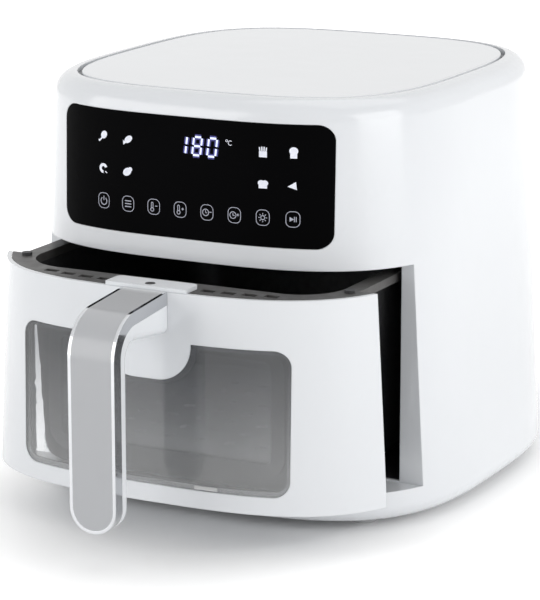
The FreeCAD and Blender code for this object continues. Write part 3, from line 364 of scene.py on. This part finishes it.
def keyFrame(bm, x, z, wide, high, corner, line):
    w, h = wide / 2, high / 2
    bar(bm, x - w + corner, z + h, x + w - corner, z + h, line)
    bar(bm, x - w + corner, z - h, x + w - corner, z - h, line)
    bar(bm, x - w, z - h + corner, x - w, z + h - corner, line)
    bar(bm, x + w, z - h + corner, x + w, z + h - corner, line)
    for sx, sz, start in ((1, 1, 0), (-1, 1, 90), (-1, -1, 180), (1, -1, 270)):
        arc(bm, x + sx * (w - corner), z + sz * (h - corner), corner, line, start, 90)


def powerSign(bm, x, z):
    arc(bm, x, z - 0.3, 2.6, 0.6, 125, 290)
    bar(bm, x, z + 0.2, x, z + 3.2, 0.6)


def menuSign(bm, x, z):
    for up in (-2, 0, 2):
        bar(bm, x - 2.6, z + up, x + 2.6, z + up, 0.6)


def plusMinus(bm, x, z, more):
    bar(bm, x - 0.9, z, x + 0.9, z, 0.5)
    if more:
        bar(bm, x, z - 0.9, x, z + 0.9, 0.5)


def warmSign(bm, x, z, more):
    arc(bm, x - 1.2, z - 2, 1.2, 0.5)
    bar(bm, x - 1.9, z - 1.2, x - 1.9, z + 2.4, 0.45)
    bar(bm, x - 0.5, z - 1.2, x - 0.5, z + 2.4, 0.45)
    arc(bm, x - 1.2, z + 2.4, 0.7, 0.45, 0, 180)
    plusMinus(bm, x + 2, z + 0.6, more)


def clockSign(bm, x, z, more):
    arc(bm, x - 1, z, 2.3, 0.5)
    bar(bm, x - 1, z - 0.2, x - 1, z + 1.5, 0.45)
    bar(bm, x - 1, z - 0.2, x + 0.2, z - 0.2, 0.45)
    plusMinus(bm, x + 2.7, z + 0.4, more)


def lampSign(bm, x, z):
    arc(bm, x, z, 1.4, 0.5)
    for k in range(8):
        c, s = math.cos(k * math.pi / 4), math.sin(k * math.pi / 4)
        bar(bm, x + 2.1 * c, z + 2.1 * s, x + 3.1 * c, z + 3.1 * s, 0.5)


def startSign(bm, x, z):
    disc(bm, x - 1.2, z, 1.9, 1, -90, 3)
    bar(bm, x + 1, z - 1.8, x + 1, z + 1.8, 0.5)
    bar(bm, x + 2.2, z - 1.8, x + 2.2, z + 1.8, 0.5)


def legSign(bm, x, z):
    disc(bm, x + 0.8, z + 1.2, 3, 0.8, -40)
    bar(bm, x - 1, z - 1, x - 3, z - 3.2, 1)
    disc(bm, x - 3.3, z - 3, 0.8)


def fishSign(bm, x, z):
    disc(bm, x + 0.6, z, 2.2, 1.6, 35)
    disc(bm, x - 2.8, z - 2.4, 1.9, 1, 35, 3)


def prawnSign(bm, x, z):
    arc(bm, x, z, 2.5, 2, 20, 250)
    bar(bm, x + 1.5, z - 2, x + 3.2, z - 3, 0.7)


def steakSign(bm, x, z):
    disc(bm, x - 0.6, z - 0.3, 2.6, 1.4, 30)
    disc(bm, x + 2, z + 1.6, 1.6)


def cartonSign(bm, x, z):
    for k in (-2.1, -0.7, 0.7, 2.1):
        bar(bm, x + k, z, x + k * 1.2, z + 3.6 - abs(k) * 0.3, 0.9)
    bar(bm, x, z - 3.8, x, z + 0.2, 5.6)


def cakeSign(bm, x, z):
    disc(bm, x, z + 1.4, 2.7, 1.1)
    bar(bm, x, z - 3.6, x, z + 0.4, 4.6)


def breadSign(bm, x, z):
    disc(bm, x - 1.2, z + 1, 2, 1.2)
    bar(bm, x, z - 2.6, x, z + 0.8, 6)
    disc(bm, x + 1.4, z + 1, 2, 1.2)


def sliceSign(bm, x, z):
    disc(bm, x, z, 4, 0.8, 97, 3)


def digit(bm, x, z, strokes, line, wide, high, slant):
    w, h = wide / 2 - signs["strokeInset"], high / 2 - signs["strokeInset"]
    ends = {"a": (-w, h, w, h), "b": (w, h, w, 0), "c": (w, 0, w, -h), "d": (-w, -h, w, -h),
            "e": (-w, 0, -w, -h), "f": (-w, h, -w, 0), "g": (-w, 0, w, 0)}
    for stroke in strokes:
        x0, z0, x1, z1 = ends[stroke]
        ease = signs["strokeGap"] / max(abs(x1 - x0), abs(z1 - z0))  # small gap where strokes meet
        ax, az = x0 + (x1 - x0) * ease, z0 + (z1 - z0) * ease
        bx, bz = x1 - (x1 - x0) * ease, z1 - (z1 - z0) * ease
        bar(bm, x + ax + slant * az, z + az, x + bx + slant * bz, z + bz, line)


def ontoGlass(bm, name, material, lift):
    layOn(glassTree, bm, lift)
    bmesh.ops.recalc_face_normals(bm, faces=bm.faces)
    for face in bm.faces:
        if face.normal.y > 0:
            face.normal_flip()
    mesh = bpy.data.meshes.new(name)
    bm.to_mesh(mesh)
    bm.free()
    film = addPiece(mesh, "housing", material).modifiers.new("film", "SOLIDIFY")
    film.thickness = lift / 2
    film.offset = -1  # inwards, so the face stays at its lift


whiteSigns = lit("sign_white", (0.68, 0.7, 0.78), (0.8, 0.82, 0.9), 0.25)
dimSigns = lit("sign_dim", (0.27, 0.28, 0.33), (0.34, 0.35, 0.41), 0.55)
blueDigits = lit("digit_blue_white", (0.6, 0.66, 1.0), (0.76, 0.8, 1.0), 0.6)
blueGlow = lit("digit_blue_glow", (0.016, 0.016, 0.1), (0.026, 0.026, 0.15), 0.7)

keys = bmesh.new()
keyMarks = ((powerSign,), (menuSign,), (warmSign, False), (warmSign, True), (clockSign, False),
            (clockSign, True), (lampSign,), (startSign,))
for k, (mark, *more) in enumerate(keyMarks):
    keyX = signs["centre"] + (k - (len(keyMarks) - 1) / 2) * signs["keyPitch"]
    keyFrame(keys, keyX, signs["keyZ"], signs["keyWide"], signs["keyHigh"], signs["keyCorner"], signs["line"])
    mark(keys, keyX, signs["keyZ"], *more)
ontoGlass(keys, "touch_key_marks", dimSigns, signs["lift"])

programs = bmesh.new()
near, far = signs["markX"]
high, low = signs["markZ"]
for mark, x, z in ((legSign, -far, high), (fishSign, -near, high), (prawnSign, -far, low), (steakSign, -near, low),
                   (cartonSign, near, high), (cakeSign, far, high), (breadSign, near, low), (sliceSign, far, low)):
    mark(programs, signs["centre"] + x, z)
ontoGlass(programs, "programme_marks", whiteSigns, signs["lift"])


def readout(name, material, line, lift):
    bm = bmesh.new()
    for x, strokes in zip(signs["digitX"], ("bc", "abcdefg", "abcdef")):
        digit(bm, signs["centre"] + x, signs["digitZ"], strokes, line,
              signs["digitWide"], signs["digitHigh"], signs["slant"])
    ontoGlass(bm, name, material, lift)


readout("lit_digits", blueDigits, signs["stroke"], signs["lift"])
readout("digit_glow", blueGlow, signs["halo"], signs["lift"] / 3)  # faint light spilling round the strokes

degree = bmesh.new()
degreeX, degreeZ = signs["centre"] + signs["degreeX"], signs["digitZ"] + signs["degreeUp"]
arc(degree, degreeX, degreeZ, 0.7, 0.35)
arc(degree, degreeX + 2.7, degreeZ - 1.4, 1.5, 0.45, 50, 260)
ontoGlass(degree, "degree_mark", whiteSigns, signs["lift"])
print("panel signs made")


# Floor, light and camera

def seenDirectly(tree):
    path = tree.nodes.new("ShaderNodeLightPath")
    seen = path.outputs["Is Camera Ray"]
    for ray in ("Is Glossy Ray", "Is Transmission Ray"):
        either = tree.nodes.new("ShaderNodeMath")
        either.operation = "MAXIMUM"
        tree.links.new(seen, either.inputs[0])
        tree.links.new(path.outputs[ray], either.inputs[1])
        seen = either.outputs[0]
    return seen


def shadeFloor(tree, shader, coords):
    oval = tree.nodes.new("ShaderNodeVectorMath")
    oval.operation = "MULTIPLY"
    oval.inputs[1].default_value = studio["paintedShadeOval"]
    tree.links.new(coords, oval.inputs[0])
    away = tree.nodes.new("ShaderNodeVectorMath")  # the glow grows away from the part; held off in an oval round it, it leaves painted shade there on top of the part's real shadow
    away.operation = "LENGTH"
    tree.links.new(oval.outputs[0], away.inputs[0])
    rise = tree.nodes.new("ShaderNodeValToRGB")
    stops = rise.color_ramp.elements
    while len(stops) < len(studio["floorGlow"]):
        stops.new(0.5)
    for stop, (far, glow) in zip(stops, studio["floorGlow"]):
        stop.position, stop.color = far, (glow, glow, glow, 1)
    tree.links.new(away.outputs["Value"], rise.inputs["Fac"])
    gain = tree.nodes.new("ShaderNodeMath")
    gain.operation = "MULTIPLY"
    tree.links.new(rise.outputs["Color"], gain.inputs[1])
    tree.links.new(seenDirectly(tree), gain.inputs[0])
    tree.links.new(gain.outputs[0], shader.inputs["Emission Strength"])
    shader.inputs["Emission Color"].default_value = (1, 1, 1, 1)
    tone = tint(tree, noise(tree, coords, 3), *studio["floorTones"])
    tree.links.new(tone, shader.inputs["Base Color"])
    shader.inputs["Roughness"].default_value = studio["floorRough"]


studio = {"floorSize": 9.0, "floorTones": ((0.9, 0.9, 0.9), (0.92, 0.92, 0.92)), "floorRough": 0.6,
          "aim": (0, -0.05, 0.15), "paintedShadeOval": (0.74, 0.43, 0.5), "sky": (0.5, 0.44),
          # floor glow by distance: none right round the part, so the floor is painted darker there than further
          # out
          "floorGlow": ((0.1, 0.0), (0.145, 0.42), (0.25, 0.45), (0.8, 0.8)),
          "lamps": (("key", (-1.9, -2.3, 0.75), 2.4, 34), ("side", (2.4, -0.4, 0.8), 2.0, 27),
                    ("top", (0.1, 0.7, 2.6), 2.2, 12))}
floorMesh = bpy.data.meshes.new("studio_floor")
bm = bmesh.new()
bmesh.ops.create_grid(bm, x_segments=1, y_segments=1, size=studio["floorSize"])
bm.to_mesh(floorMesh)
bm.free()
floor = bpy.data.objects.new("studio_floor", floorMesh)
bpy.context.scene.collection.objects.link(floor)
floorMat, floorTree, floorShader, floorCoords = startMaterial("pale_floor")
shadeFloor(floorTree, floorShader, floorCoords)
floorMesh.materials.append(floorMat)

for name, place, size, watts in studio["lamps"]:
    lamp = bpy.data.lights.new(name, "AREA")
    lamp.shape = "SQUARE"
    lamp.size = size
    lamp.energy = watts
    holder = bpy.data.objects.new(name, lamp)
    holder.location = place
    holder.rotation_euler = (Vector(place) - Vector(studio["aim"])).to_track_quat("Z", "Y").to_euler()
    bpy.context.scene.collection.objects.link(holder)


def shadeSky(tree):
    upward = tree.nodes.new("ShaderNodeSeparateXYZ")
    tree.links.new(tree.nodes.new("ShaderNodeTexCoord").outputs["Generated"], upward.inputs[0])
    dome = tree.nodes.new("ShaderNodeMapRange")  # brighter near the horizon than overhead
    dome.inputs["To Min"].default_value, dome.inputs["To Max"].default_value = studio["sky"]
    tree.links.new(upward.outputs["Z"], dome.inputs["Value"])
    level = tree.nodes.new("ShaderNodeMapRange")
    level.inputs["To Max"].default_value = 1  # white where it is seen directly
    tree.links.new(dome.outputs["Result"], level.inputs["To Min"])
    tree.links.new(seenDirectly(tree), level.inputs["Value"])
    sky = tree.nodes["Background"]
    sky.inputs["Color"].default_value = (1, 1, 1, 1)
    tree.links.new(level.outputs["Result"], sky.inputs["Strength"])


world = bpy.data.worlds.new("studio_sky")
world.use_nodes = True
bpy.context.scene.world = world
shadeSky(world.node_tree)

view = {"place": (0.9271, -1.8553, 0.6246), "back": (0.44207, -0.86532, 0.23622), "lens": 172.52,
        "sensor": 36}
camera = bpy.data.objects.new("photo_camera", bpy.data.cameras.new("photo_camera"))
camera.data.lens = view["lens"]
camera.data.sensor_width = view["sensor"]
camera.location = view["place"]
camera.rotation_euler = Vector(view["back"]).to_track_quat("Z", "Y").to_euler()
bpy.context.scene.collection.objects.link(camera)
bpy.context.scene.camera = camera
bpy.context.scene.view_settings.view_transform = "Standard"
print("studio ready")
